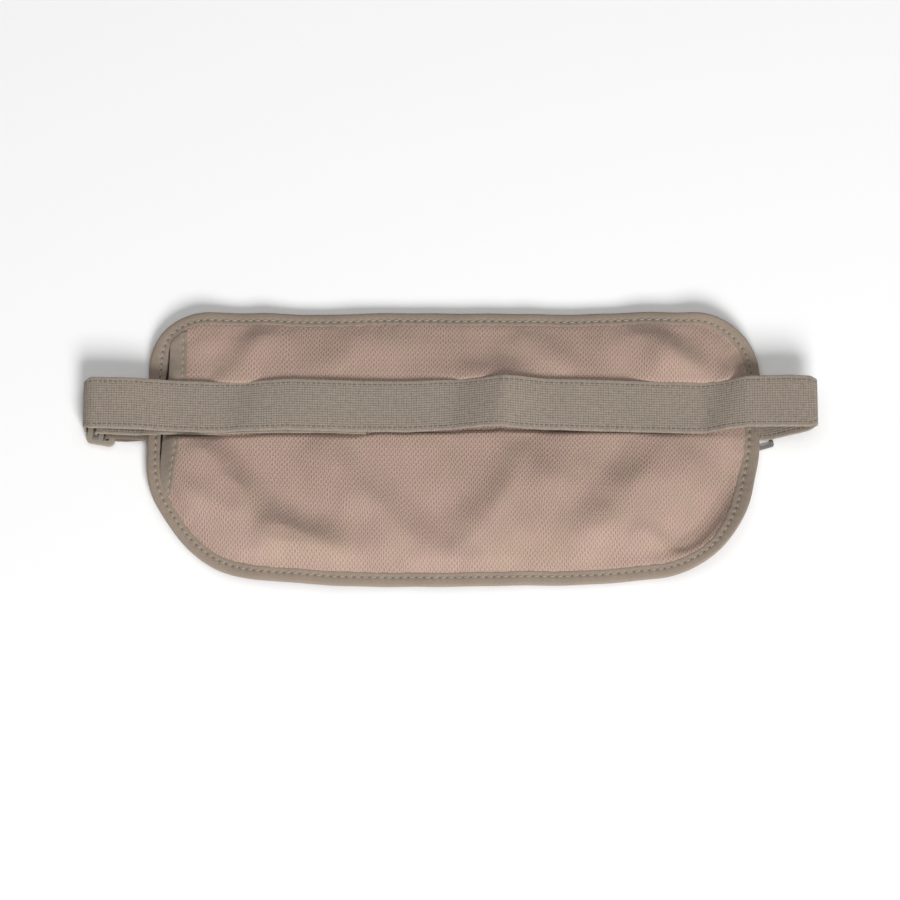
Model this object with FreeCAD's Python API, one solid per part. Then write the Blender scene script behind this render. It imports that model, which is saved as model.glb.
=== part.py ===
import FreeCAD, Part
import math
import os

# A flat money belt that lies on its zipped front, with the mesh back panel up and the
# elastic belt folded across it. X is the width, Y the height when worn, Z is up.
# Everything is drawn about the middle of the pouch, and moved at the end so that the
# origin is on the ground under the middle of the whole piece. Millimetres.

V = FreeCAD.Vector

# ---------------------------------------------------------------- driving dimensions
# Pouch outline: four corner circles (x, y, radius), a straight top and a bowed bottom.
top_y = 66.5
top_left = (-117.0, 38.5, 28.0)
top_right = (112.5, 33.5, 33.0)
bottom_left = (-86.5, -5.5, 58.5)
bottom_right = (91.5, -14.2, 48.7)
bow_radius = 1300.0

# Heights of the layers, from the ground up.
binding_low = 2.0
binding_high = 5.4
binding_ply = 0.45
binding_width = 6.4
seam_gap = 0.7              # from the binding's outer face to the edge of each layer
panel_seam = 2.5            # underside of the front panels in the seam
panel_thick = 0.25
tape_low = 2.8
tape_thick = 0.4
divider_seam = 3.25
lining_seam = 3.5
lining_thick = 0.2
mesh_seam = 4.5
mesh_thick = 0.4
divider_crown = 4.9         # top of each raised middle
lining_crown = 5.4
mesh_crown = 8.6
binding_fold = 0.5          # depth of the binding where it turns round the edge
seam_allowance = 7.2        # flat rim of every layer, just wider than the binding
panel_slope = 5.5           # width of the sloping edge of a front panel
mesh_slope = 8.0

# Side opening of the rear mesh pocket.
mesh_edge_x = -135.8
hem_width = 7.4
hem_stitch = 1.3            # from the hem's inner edge to its stitch line

# Stitching.
thread = 0.35
thread_stands = 0.2         # how far it stands above the binding and the tacks
hem_thread_stands = 0.15
binding_stitch = 4.0        # from the pouch's edge to the stitch line

# Zips.
main_zip_y = -2.5
upper_zip_y = 42.0
coil_gap = 1.2              # between the two rows, where the slider's post runs
coil_width = 1.3
coil_thick = 1.0
tape_width = 12.0
zip_rim = 1.0               # flat rim of a layer beside a zip
pull_rest_rim = 8.2         # and where the main zip's pull lies
panel_to_zip = 3.8          # from the middle of the zip to the edge of a front panel
slider_length = 8.8
slider_width = 7.0
slider_plate = 0.6
coil_clearance = 0.15
bail_bar = 0.6
bail_half_length = 2.95
bail_leg = 0.7
post_width = 0.9
mouth_taper = 0.9           # how much a slider's plate narrows at its open end
mouth_length = 3.4
nose_taper = 1.0            # and at its closed end
pull_thick = 0.8
pull_clearance = 0.1
pull_length = 28.5
pull_width = 7.0
pull_neck = 5.2
pull_eye = 3.6
pull_eye_reach = 4.8
pull_neck_length = 5.5
pull_flare_end = 9.0        # where the handle reaches its full width
pull_corner = 1.3
pull_rim = 1.6              # metal left round the handle's window
pull_window_start = 13.5
main_pull_yaw = 16.0        # the pull lies askew, towards the belt
main_slider_x = 123.3       # both sliders are at their closed ends at rest
upper_slider_x = 103.0
main_zip_end_x = -126.0
upper_zip_end_x = -112.0
stop_length = 1.6

# Belt: elastic webbing, and a short tab of it that holds the adjuster.
belt_width = 25.0
belt_thick = 1.2
belt_ends_y = (3.0, 29.5)   # room in the seam for the belt's two sewn ends
belt_ends_inner = 138.0
seam_tack_y = (5.5, 27.0)
seam_tack_x = (141.9, -143.9)
seam_tack_width = 1.5
tab_tack_x = (-150.6, -149.0)
tab_tack_y = (6.0, 27.0)
adjuster_at = (-164.8, 18.2)
adjuster_yaw = -10.0
adjuster_low = 1.8
adjuster_thick = 2.2
adjuster_length = 13.6
adjuster_span = 32.5
slot_length = 28.0
slot_width = 2.6
outer_bar = 3.0
adjuster_corner = 2.6
adjuster_edge = 0.5
fold_left_x = -174.6        # middle of the webbing's thickness at the two far folds
fold_right_x = 170.6

# Further out than any piece reaches, for cutting blocks.
beyond = 200.0

# Heights that follow from the ones above.
coil_mid = tape_low + tape_thick / 2
slider_low = coil_mid - coil_thick / 2 - coil_clearance - slider_plate
slider_high = coil_mid + coil_thick / 2 + coil_clearance + slider_plate
pull_mid = slider_low - pull_clearance - pull_thick / 2
bail_low = pull_mid - pull_thick / 2 - pull_clearance - bail_bar
belt_seam_mid = divider_seam + belt_thick / 2


# ---------------------------------------------------------------- outline of the pouch
def corner_circles(inset):
    """Centre and radius of the four corners, anticlockwise from the top right."""
    corners = (top_right, top_left, bottom_left, bottom_right)
    return [(V(x, y, 0), radius - inset) for x, y, radius in corners]


def normal_between(first, second):
    """Angle of the outward normal of the straight side that joins two corners."""
    across = second[0] - first[0]
    return math.atan2(across.y, across.x) - math.acos((first[1] - second[1]) / across.Length)


def bow_centre():
    """Centre of the bottom edge's arc, which both lower corners touch from inside."""
    (left, left_radius), (right, right_radius) = corner_circles(0)[2:]
    to_left = bow_radius - left_radius
    to_right = bow_radius - right_radius
    across = right - left
    along = (to_left**2 - to_right**2 + across.Length**2) / (2 * across.Length)
    up = math.sqrt(to_left**2 - along**2)
    unit = V(across.x, across.y, 0).normalize()
    return left + unit * along + V(-unit.y, unit.x, 0) * up


def on_circle(centre, radius, angle):
    return centre + V(math.cos(angle), math.sin(angle), 0) * radius


def arc(centre, radius, start, end):
    """Anticlockwise arc from one angle to another."""
    while end < start:
        end += 2 * math.pi
    points = [on_circle(centre, radius, a) for a in (start, (start + end) / 2, end)]
    return Part.Arc(*points).toShape()


def outline(inset, height):
    """Closed outline of the pouch, moved in by inset, at a height."""
    right, left, low_left, low_right = corner_circles(inset)
    bow = bow_centre()
    low_left_end = math.atan2(low_left[0].y - bow.y, low_left[0].x - bow.x)
    low_right_end = math.atan2(low_right[0].y - bow.y, low_right[0].x - bow.x)
    top = normal_between(right, left)
    left_side = normal_between(left, low_left)
    right_side = normal_between(low_right, right)
    arcs = [
        arc(*right, right_side, top),
        arc(*left, top, left_side),
        arc(*low_left, left_side, low_left_end),
        arc(bow, bow_radius - inset, low_left_end, low_right_end),
        arc(*low_right, low_right_end, right_side),
    ]
    edges = []
    for this, following in zip(arcs, arcs[1:] + arcs[:1]):
        edges.append(this)
        start = this.Vertexes[-1].Point
        end = following.Vertexes[0].Point
        if start.distanceToPoint(end) > 0.01:
            edges.append(Part.makeLine(start, end))
    wire = Part.Wire(edges)
    wire.translate(V(0, 0, height))
    return wire


def slab(inset, low, high):
    """The whole outline as a flat plate."""
    return Part.Face(outline(inset, low)).extrude(V(0, 0, high - low))


def block(x0, x1, y0, y1, z0, z1):
    return Part.makeBox(x1 - x0, y1 - y0, z1 - z0, V(x0, y0, z0))


# ---------------------------------------------------------------- fabric layers
def mound(inset, low, slope, high, y_range=None):
    """A raised or sunken middle: it tapers by slope from height low to height high."""
    solid = Part.makeLoft([outline(inset, low), outline(inset + slope, high)], True, True)
    if y_range is None:
        return solid
    y0, y1 = y_range
    profile = [(y0, low), (y1, low), (y1 - slope, high), (y0 + slope, high)]
    ring = [V(-beyond, y, z) for y, z in profile]
    face = Part.Face(Part.makePolygon(ring + ring[:1]))
    return solid.common(face.extrude(V(2 * beyond, 0, 0)))


def layer(seam, thick, crown, slope, y_range=None, y_rims=(0, 0)):
    """One sheet of cloth: a flat rim at the seam, and a middle pushed up or down to crown."""
    rises = crown > seam
    sheet = slab(seam_gap, seam, seam + thick)
    middle_range = None
    if y_range is not None:
        y0, y1 = y_range
        sheet = sheet.common(block(-beyond, beyond, y0, y1, seam, seam + thick))
        middle_range = (y0 + y_rims[0], y1 - y_rims[1])
    start = seam + thick if rises else seam
    middle = mound(seam_allowance, start, slope, crown, middle_range)
    hollow = middle.translated(V(0, 0, -thick if rises else thick))
    return sheet.fuse(middle).cut(hollow).removeSplitter()


def front_panel(y_range, y_rims):
    return layer(panel_seam, panel_thick, 0, panel_slope, y_range, y_rims)


def belt_notches():
    """Room in the seam for the two ends of the belt."""
    low = divider_seam - 0.05
    high = low + belt_thick + 0.1
    right = block(belt_ends_inner, beyond, *belt_ends_y, low, high)
    left = block(-beyond, 0.5 - belt_ends_inner, *belt_ends_y, low, high)
    return right.fuse(left)


def edge_binding():
    """Tape folded round the edge of all the layers, so its section is a C."""
    ring = slab(0, binding_low, binding_high)
    ring = ring.cut(slab(binding_fold, binding_low + binding_ply, binding_high - binding_ply))
    ring = ring.cut(slab(binding_width, binding_low - 1, binding_high + 1))
    return ring.cut(belt_notches())


def binding_thread():
    ring = slab(binding_stitch, binding_high, binding_high + thread_stands)
    return ring.cut(slab(binding_stitch + thread, binding_high - 1, binding_high + 1))


def mesh_sheet():
    """The back panel's full sheet, before its side opening is cut."""
    return layer(mesh_seam, mesh_thick, mesh_crown, mesh_slope)


def back_mesh_panel():
    return mesh_sheet().cut(block(-beyond, mesh_edge_x, -beyond, beyond, 0, beyond))


def on_mesh(x0, x1, thick, lift):
    """A strip that lies on the mesh panel between two places across, inside the binding."""
    raised = mesh_sheet().translated(V(0, 0, mesh_thick + lift))
    lower = mesh_sheet().translated(V(0, 0, lift))
    inside = slab(binding_width + 0.1, 0, beyond)
    inside = inside.common(block(x0, x1, -beyond, beyond, 0, beyond))
    if thick < mesh_thick:
        raised = raised.translated(V(0, 0, thick - mesh_thick))
        raised = raised.cut(lower)
    return raised.common(inside)


def opening_hem():
    """Tape sewn along the free edge of the mesh, at the side opening."""
    return on_mesh(mesh_edge_x - 0.3, mesh_edge_x + hem_width, mesh_thick, 0)


def hem_thread():
    x = mesh_edge_x + hem_width - hem_stitch
    strip = on_mesh(x - thread / 2, x + thread / 2, hem_thread_stands, mesh_thick)
    return strip.common(slab(binding_width + 1, 0, beyond))


# ---------------------------------------------------------------- zips
def zip_tape(y, side):
    """One side's tape, from the coil out into the seams. side is 1 or -1."""
    inner = y + side * (coil_gap / 2 + coil_width)
    outer = inner + side * tape_width
    strip = block(-beyond, beyond, min(inner, outer), max(inner, outer), 0, beyond)
    return slab(seam_gap, tape_low, tape_low + tape_thick).common(strip)


def coil_row(y, side, x0, x1):
    inner = y + side * coil_gap / 2
    outer = inner + side * coil_width
    low = coil_mid - coil_thick / 2
    return block(x0, x1, min(inner, outer), max(inner, outer), low, low + coil_thick)


def zip_stops(y, x0, x1):
    """The bottom stop joins both rows; each row has its own top stop."""
    low = coil_mid - coil_thick / 2 - 0.1
    high = coil_mid + coil_thick / 2 + 0.1
    reach = coil_gap / 2 + coil_width
    bottom = block(x0 - stop_length, x0, y - reach, y + reach, low, high)
    tops = [
        block(x1, x1 + stop_length, y + coil_gap / 2, y + reach, low, high),
        block(x1, x1 + stop_length, y - reach, y - coil_gap / 2, low, high),
    ]
    return Part.makeCompound([bottom] + tops)


def slider_plate_at(low, high):
    """A slider's plate seen from above: wide at the mouths, narrow at the closed end."""
    half = slider_length / 2
    side = slider_width / 2
    points = [
        V(-half, -side + mouth_taper, low),
        V(-half + mouth_length, -side, low),
        V(half - nose_taper, -side, low),
        V(half, -side + nose_taper, low),
    ]
    points += [V(p.x, -p.y, low) for p in reversed(points)]
    return Part.Face(Part.makePolygon(points + points[:1])).extrude(V(0, 0, high - low))


def zip_slider(x, y):
    """Two plates round the coils, a post between the rows, and a bail for the pull."""
    half = slider_length / 2
    side = slider_width / 2
    lower = slider_plate_at(slider_low, slider_low + slider_plate)
    upper = slider_plate_at(slider_high - slider_plate, slider_high)
    post_low = slider_low + slider_plate
    post_high = slider_high - slider_plate
    post = block(half - 3.2, half - 0.6, -post_width / 2, post_width / 2, post_low, post_high)
    solid = lower.fuse([upper, post])
    lip_inner = coil_gap / 2 + coil_width + 0.3
    outline_prism = slider_plate_at(slider_low, slider_high)
    for sign in (-1, 1):
        y0, y1 = sorted((sign * lip_inner, sign * side))
        low_lip = block(-half, half, y0, y1, post_low, tape_low - coil_clearance)
        high_lip = block(-half, half, y0, y1, tape_low + tape_thick + coil_clearance, post_high)
        solid = solid.fuse([low_lip.common(outline_prism), high_lip.common(outline_prism)])
    leg_in = bail_half_length - bail_leg
    bail = block(-bail_half_length, bail_half_length, -bail_bar, bail_bar, bail_low, slider_low)
    window = block(-leg_in, leg_in, -bail_bar, bail_bar, bail_low + bail_bar, slider_low)
    solid = solid.fuse(bail.cut(window)).removeSplitter()
    return solid.translated(V(x, y, 0))


def pull_outline(low):
    """Flat outline of a pull: a neck that widens into a rounded handle."""
    neck = pull_neck / 2
    wide = pull_width / 2
    inner = pull_length - pull_corner
    turn = pull_length - pull_corner * (1 - math.sqrt(0.5))
    turn_y = wide - pull_corner * (1 - math.sqrt(0.5))
    points = ((0, neck), (pull_neck_length, neck), (pull_flare_end, wide), (inner, wide))
    side = [V(x, y, low) for x, y in points]
    end = V(pull_length, wide - pull_corner, low)

    def mirrored(point):
        return V(point.x, -point.y, point.z)

    edges = [Part.makeLine(a, b) for a, b in zip(side, side[1:])]
    edges.append(Part.Arc(side[-1], V(turn, turn_y, low), end).toShape())
    edges.append(Part.makeLine(end, mirrored(end)))
    edges.append(Part.Arc(mirrored(end), V(turn, -turn_y, low), mirrored(side[-1])).toShape())
    edges += [Part.makeLine(mirrored(b), mirrored(a)) for a, b in reversed(list(zip(side, side[1:])))]
    edges.append(Part.makeLine(mirrored(side[0]), side[0]))
    return Part.Wire(edges)


def zip_pull(x, y, yaw):
    """A flat metal pull with an eye round the bail and an open window in the handle."""
    low = pull_mid - pull_thick / 2
    body = Part.Face(pull_outline(low)).extrude(V(0, 0, pull_thick))
    eye = block(-1, pull_eye_reach, -pull_eye / 2, pull_eye / 2, low - 1, low + 2)
    window_side = pull_width / 2 - pull_rim
    window = block(
        pull_window_start, pull_length - pull_rim, -window_side, window_side, low - 1, low + 2)
    upright = [e for e in window.Edges if abs(e.Vertexes[0].Z - e.Vertexes[1].Z) > 1]
    window = window.makeFillet(0.6, upright)
    pin = Part.makeCylinder(pull_thick / 2, pull_neck, V(0, -pull_neck / 2, pull_mid), V(0, 1, 0))
    solid = body.cut(eye).cut(window).fuse(pin).removeSplitter()
    solid.rotate(V(0, 0, 0), V(0, 0, 1), yaw)
    return solid.translated(V(x, y, 0))


# ---------------------------------------------------------------- belt
def rounded_route(corners):
    """Points and yaws along straight runs joined by arcs. A corner is (x, y, z, radius, yaw)."""
    route = [(V(*corners[0][:3]), corners[0][4])]
    for before, this, after in zip(corners, corners[1:], corners[2:]):
        point = V(*this[:3])
        come = (point - V(*before[:3])).normalize()
        leave = (V(*after[:3]) - point).normalize()
        turn = come.getAngle(leave)
        reach = this[3] * math.tan(turn / 2)
        middle = point + (leave - come).normalize() * (this[3] / math.cos(turn / 2))
        first = (point - come * reach) - middle
        last = (point + leave * reach) - middle
        steps = max(2, math.ceil(math.degrees(turn) / 18))
        for i in range(steps + 1):
            t = i / steps
            spoke = first * math.sin((1 - t) * turn) + last * math.sin(t * turn)
            route.append((middle + spoke * (1 / math.sin(turn)), this[4]))
    route.append((V(*corners[-1][:3]), corners[-1][4]))
    return route


def webbing(corners):
    """A flat strip of webbing, lofted through cuts that stay level across its route."""
    route = rounded_route(corners)
    points = [p for p, _ in route]
    ways = [(b - a).normalize() for a, b in zip(points, points[1:])]
    cuts = []
    for i, (point, yaw) in enumerate(route):
        forward = ways[max(i - 1, 0)] + ways[min(i, len(ways) - 1)]
        forward.normalize()
        angle = math.radians(yaw)
        across = V(-math.sin(angle), math.cos(angle), 0) * (belt_width / 2)
        up = forward.cross(across).normalize() * (belt_thick / 2)
        ring = [point + across + up, point - across + up, point - across - up, point + across - up]
        cuts.append(Part.makePolygon(ring + ring[:1]))
    return Part.makeLoft(cuts, True, True)


under_bar = adjuster_low - 0.4 - belt_thick / 2
tab_over_bar = adjuster_low + adjuster_thick + 0.4 + belt_thick / 2
tail_over_bar = tab_over_bar + belt_thick + 0.5
first_slot_x = adjuster_at[0] - 2.3
second_slot_x = adjuster_at[0] + 2.3

belt_route = [
    (139.2, 16.0, belt_seam_mid, 0, 0),                 # sewn into the right side seam
    (148.0, 16.6, belt_seam_mid, 14, 0),
    (fold_right_x, 20.0, 12.6, 1.3, 0),                 # far fold on the right
    (fold_right_x, 20.2, 15.9, 1.3, 0),
    (158.0, 20.5, 16.0, 40, 0),
    (138.0, 20.3, 15.7, 8, 0),
    (118.0, 18.4, 9.8, 9, 0),                           # crease where it meets the mesh
    (98.0, 18.8, 9.8, 60, 0),
    (66.0, 19.5, 10.9, 60, 0),
    (42.0, 19.8, 12.3, 40, 0),
    (22.0, 20.7, 16.0, 14, 0),                          # arch in the middle
    (1.0, 19.6, 12.4, 30, 0),
    (-22.0, 18.8, 11.1, 60, 0),
    (-46.0, 19.0, 11.2, 60, 0),
    (-78.0, 19.8, 12.0, 60, 0),
    (-112.0, 18.4, 11.2, 60, 0),
    (-134.0, 19.0, 11.9, 60, 0),
    (-152.0, 20.0, 13.2, 50, 0),
    (fold_left_x, 20.4, 13.2, 5, 0),                    # far fold on the left
    (fold_left_x, 20.0, under_bar, 1.7, 0),
    (first_slot_x, 19.3, under_bar, 0.9, adjuster_yaw),  # up through the adjuster
    (first_slot_x, 19.2, tail_over_bar, 0.9, adjuster_yaw),
    (-150.0, 18.4, tail_over_bar, 14, 0),
    (-137.0, 18.0, 10.2, 14, 0),
    (-122.0, 17.6, 9.6, 40, 0),
    (-86.0, 18.9, 9.3, 60, 0),
    (-60.0, 19.0, 9.3, 60, 0),
    (-41.5, 18.2, 9.3, 0, 0),                           # free end under the belt
]

tab_route = [
    (-138.8, 16.3, belt_seam_mid, 0, 0),                # sewn into the left side seam
    (-148.0, 16.4, belt_seam_mid, 7, 0),
    (-155.5, 16.7, under_bar, 7, 0),
    (second_slot_x, 17.2, under_bar, 0.9, adjuster_yaw),
    (second_slot_x, 17.2, tab_over_bar, 0.9, adjuster_yaw),
    (-146.4, 16.5, tab_over_bar, 0, 0),                 # sewn back on itself
]


def strap_adjuster():
    """A slide with three cross bars, the tab round one and the belt round another."""
    half = adjuster_length / 2
    side = adjuster_span / 2
    frame = block(-half, half, -side, side, 0, adjuster_thick)
    upright = [e for e in frame.Edges if abs(e.Vertexes[0].Z - e.Vertexes[1].Z) > 1]
    frame = frame.makeFillet(adjuster_corner, upright)
    frame = frame.makeFillet(adjuster_edge, [e for e in frame.Edges if e.BoundBox.ZLength < 0.01])
    slot_in = half - outer_bar - slot_width
    for sign in (-1, 1):
        x0, x1 = sorted((sign * slot_in, sign * (slot_in + slot_width)))
        frame = frame.cut(block(x0, x1, -slot_length / 2, slot_length / 2, -1, adjuster_thick + 1))
    frame.rotate(V(0, 0, 0), V(0, 0, 1), adjuster_yaw)
    return frame.translated(V(adjuster_at[0], adjuster_at[1], adjuster_low))


def seam_tacks():
    """Dense stitching across the binding over both ends of the belt."""
    top = binding_high + thread_stands
    bars = [block(x, x + seam_tack_width, *seam_tack_y, binding_high, top) for x in seam_tack_x]
    return Part.makeCompound(bars)


def tab_tack():
    """Dense stitching that holds the tab's turned-back end."""
    top = tab_over_bar + belt_thick / 2
    return block(*tab_tack_x, *tab_tack_y, top, top + thread_stands)


# ---------------------------------------------------------------- assembly
def zip_nodes(name, y, slider_x, far_end_x, yaw):
    """All the pieces of one zip."""
    near_end_x = slider_x + slider_length / 2 + 0.3
    return {
        name + "_tape_upper": zip_tape(y, 1),
        name + "_tape_lower": zip_tape(y, -1),
        name + "_coil_upper": coil_row(y, 1, far_end_x, near_end_x),
        name + "_coil_lower": coil_row(y, -1, far_end_x, near_end_x),
        name + "_stops": zip_stops(y, far_end_x, near_end_x),
        name + "_slider": zip_slider(slider_x, y),
        name + "_pull": zip_pull(slider_x, y, yaw),
    }


def all_nodes():
    notches = belt_notches()
    above_main = main_zip_y + panel_to_zip
    below_upper = upper_zip_y - panel_to_zip
    nodes = {
        "front_top_panel": front_panel((upper_zip_y + panel_to_zip, beyond), (zip_rim, 0)),
        "front_middle_panel": front_panel((above_main, below_upper), (pull_rest_rim, zip_rim)),
        "front_bottom_panel": front_panel((-beyond, main_zip_y - panel_to_zip), (0, zip_rim)),
        "pocket_divider": layer(
            divider_seam, lining_thick, divider_crown, mesh_slope,
            (above_main + 0.5, beyond), (zip_rim, 0)).cut(notches),
        "back_lining": layer(lining_seam, lining_thick, lining_crown, mesh_slope).cut(notches),
        "back_mesh_panel": back_mesh_panel(),
        "opening_hem": opening_hem(),
        "hem_thread": hem_thread(),
        "edge_binding": edge_binding(),
        "binding_thread": binding_thread(),
        "belt_strap": webbing(belt_route),
        "belt_tab": webbing(tab_route),
        "strap_adjuster": strap_adjuster(),
        "seam_tacks": seam_tacks(),
        "tab_tack": tab_tack(),
    }
    nodes.update(zip_nodes("main_zip", main_zip_y, main_slider_x, main_zip_end_x, main_pull_yaw))
    nodes.update(zip_nodes("upper_zip", upper_zip_y, upper_slider_x, upper_zip_end_x, 0))
    return nodes


def origin_shift(nodes):
    """The move that puts the origin on the ground under the middle of everything."""
    box = Part.makeCompound(list(nodes.values())).BoundBox
    return V(-box.Center.x, -box.Center.y, 0)


made = all_nodes()
shift = origin_shift(made)
os.makedirs("parts", exist_ok=True)
for node, shape in made.items():
    shape.translated(shift).exportStep("parts/" + node + ".step")
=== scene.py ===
import math
from functools import cache

import bpy
import numpy as np
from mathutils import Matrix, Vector, noise
from mathutils.kdtree import KDTree


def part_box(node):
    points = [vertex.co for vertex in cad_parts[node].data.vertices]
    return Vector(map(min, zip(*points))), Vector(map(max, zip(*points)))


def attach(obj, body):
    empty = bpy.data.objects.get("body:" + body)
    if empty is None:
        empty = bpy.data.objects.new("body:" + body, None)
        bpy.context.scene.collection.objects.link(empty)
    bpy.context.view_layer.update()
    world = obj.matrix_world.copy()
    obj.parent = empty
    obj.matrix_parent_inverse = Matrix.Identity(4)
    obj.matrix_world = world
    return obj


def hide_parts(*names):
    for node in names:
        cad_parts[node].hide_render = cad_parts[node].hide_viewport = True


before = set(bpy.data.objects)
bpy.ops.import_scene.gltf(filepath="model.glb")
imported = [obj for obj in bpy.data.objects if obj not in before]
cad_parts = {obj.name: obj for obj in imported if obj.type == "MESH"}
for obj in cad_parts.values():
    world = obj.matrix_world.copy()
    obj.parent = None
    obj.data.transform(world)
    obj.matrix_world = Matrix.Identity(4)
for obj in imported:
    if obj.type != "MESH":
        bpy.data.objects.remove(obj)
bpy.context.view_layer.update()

# The looks of a flat money belt that lies on its zipped front, mesh back up, with its elastic
# belt folded across it. Shapes are worked out in millimetres about the middle of the pouch,
# where X is the width and Y the height as worn, and become metres in to_world().

MM = 0.001

# ------------------------------------------------------------ driving dimensions
TOP_Y = 66.5
TOP_LEFT = (-117.0, 38.5, 28.0)          # corner circles: x, y, radius
TOP_RIGHT = (112.5, 33.5, 33.0)
BOTTOM_LEFT = (-86.5, -5.5, 58.5)
BOTTOM_RIGHT = (91.5, -14.2, 48.7)
BOW_RADIUS = 1300.0                      # of the lower edge
ARC_STEPS = 60

EDGE_BULGES = [(143, -2, 17, 1.7), (-131, -38, 18, -1.6)]     # worn out or in: x, y, reach, how far
EDGE_WAVES = [(0.32, 7, 0.6), (0.16, 13, 2.1), (0.08, 29, 0)]  # depth, how many round, start

BINDING = 6.4                            # visible width of the edge binding
BINDING_LOW = 2.05
BINDING_HIGH = 5.3
SEAM_ALLOWANCE = 2.6                     # how far inside the edge the sewn-in layers end
TAPE_ALLOWANCE = 3.0                     # and the zips' tapes
STITCH_INSET = 4.1                       # binding stitches, from the outer edge
STITCH_PITCH = 3.65
STITCH_LENGTH = 2.4
THREAD = 0.62
STITCH_DIP = 0.30                        # how far a stitch's ends go down into the cloth

MESH_RIM = 4.55                          # heights above the ground
MESH_CROWN = 10.2
MESH_THICK = 0.35
LINING_THICK = 0.18
PANEL_THICK = 0.3
LINING_RIM = 3.75
LINING_CROWN = 5.5
DIVIDER_RIM = 3.3
DIVIDER_CROWN = 4.75
PANEL_RIM = 2.55
PANEL_SAG_HEIGHT = 0.45
PANEL_SAG_REACH = 4.0
PANEL_STITCH = 1.4                       # topstitching, from a panel's edge
ABOVE_FLOOR = 0.03

MAIN_ZIP_Y = -2.5
UPPER_ZIP_Y = 42.0
PANEL_TO_ZIP = 3.8
PULL_SWEEP = 8.0                         # flat rim beside the main zip, for its askew pull

BELT_WIDTH = 25.0
BELT_THICK = 1.25

TILT = math.radians(14.0)                # of the camera, from straight down
VIEW_WIDTH = 425.1
VIEW_DISTANCE = 1700.0


# ------------------------------------------------------------ outline of the pouch
def run_along(points):
    """How far along a line of points each of them is."""
    return np.concatenate([[0], np.cumsum(np.linalg.norm(np.diff(points, axis=0), axis=1))])


def unit(vectors):
    """The vectors at length 1."""
    return vectors / np.linalg.norm(vectors, axis=-1, keepdims=True)


def points_at(where, run, points):
    """Places along a line of points, by their distance along it."""
    return np.stack([np.interp(where, run, values) for values in points.T], -1)


def bell(distance, reach, power=2):
    """1 at no distance, and less beyond."""
    return np.exp(-((distance / reach) ** power))


def mounds(xy, places):
    """Sum of round mounds: x, y, reach and height of each."""
    return sum(height * bell(xy[:, 0] - x, reach) * bell(xy[:, 1] - y, reach)
               for x, y, reach, height in places)


def corner_circles():
    """Corner centres and radii, anticlockwise from the top right."""
    corners = (TOP_RIGHT, TOP_LEFT, BOTTOM_LEFT, BOTTOM_RIGHT)
    return [(np.array([x, y]), r) for x, y, r in corners]


def normal_between(first, second):
    """Angle of the outward normal of the straight side that joins two corners."""
    across = second[0] - first[0]
    length = np.hypot(*across)
    return math.atan2(across[1], across[0]) - math.acos((first[1] - second[1]) / length)


def bow_centre():
    """Centre of the large arc that joins the two lower corners."""
    (left, left_radius), (right, right_radius) = corner_circles()[2:]
    to_left = BOW_RADIUS - left_radius
    to_right = BOW_RADIUS - right_radius
    span = np.hypot(*(right - left))
    along = (to_left**2 - to_right**2 + span**2) / (2 * span)
    up = math.sqrt(to_left**2 - along**2)
    ahead = unit(right - left)
    return left + ahead * along + np.array([-ahead[1], ahead[0]]) * up


def outline(step):
    """Points and outward normals round the pouch's edge, evenly spaced by about step."""
    right, left, low_left, low_right = corner_circles()
    bow = bow_centre()
    low_left_end = math.atan2(*(low_left[0] - bow)[::-1])
    low_right_end = math.atan2(*(low_right[0] - bow)[::-1])
    top = normal_between(right, left)
    left_side = normal_between(left, low_left)
    right_side = normal_between(low_right, right)
    arcs = [
        (right[0], right[1], right_side, top),
        (left[0], left[1], top, left_side),
        (low_left[0], low_left[1], left_side, low_left_end),
        (bow, BOW_RADIUS, low_left_end, low_right_end),
        (low_right[0], low_right[1], low_right_end, right_side),
    ]
    angles = []
    points = []
    for centre, radius, start, end in arcs:
        a = np.linspace(start, start + (end - start) % (2 * math.pi), ARC_STEPS)
        angles.append(a)
        points.append(centre + radius * np.column_stack([np.cos(a), np.sin(a)]))
    angles = np.unwrap(np.concatenate([*angles, angles[0][:1]]))
    points = np.vstack([*points, points[0][:1]])
    run = run_along(points)
    count = int(round(run[-1] / step))
    s = np.linspace(0, run[-1], count, endpoint=False)
    xy = points_at(s, run, points)
    a = np.interp(s, run, angles)
    normal = np.stack([np.cos(a), np.sin(a)], 1)
    moved = mounds(xy, EDGE_BULGES) - edge_wobble(s, run[-1])
    return s, xy + normal * moved[:, None], normal


def edge_wobble(s, total):
    """Small uneven pull of the seam, the same all the way round and back."""
    turn = 2 * math.pi * s / total
    return sum(depth * np.sin(waves * turn + start) for depth, waves, start in EDGE_WAVES)


def edge_tree():
    """The outline, with a tree that finds its nearest point."""
    s, xy, normal = outline(0.7)
    tree = KDTree(len(xy))
    for i, (x, y) in enumerate(xy):
        tree.insert((x, y, 0), i)
    tree.balance()
    return tree, s, xy, normal


EDGE_TREE, EDGE_S, EDGE_XY, EDGE_NORMAL = edge_tree()


def nearest_edge(xy):
    return [EDGE_TREE.find((x, y, 0))[1] for x, y in xy]


def edge_distance(xy):
    """How far each point is inside the pouch's edge, and where along the edge it is nearest."""
    found = nearest_edge(xy)
    out = np.array(xy) - EDGE_XY[found]
    return -(out * EDGE_NORMAL[found]).sum(1), EDGE_S[found]


low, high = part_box("edge_binding")
OUTLINE_LEFT = BOTTOM_LEFT[0] - BOTTOM_LEFT[2]
OUTLINE_RIGHT = TOP_RIGHT[0] + TOP_RIGHT[2]
SHIFT = np.array([
    (low.x + high.x) / (2 * MM) - (OUTLINE_LEFT + OUTLINE_RIGHT) / 2,
    high.y / MM - TOP_Y,
    0.0,
])


def to_world(points):
    return (np.asarray(points, float) + SHIFT) * MM


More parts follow.
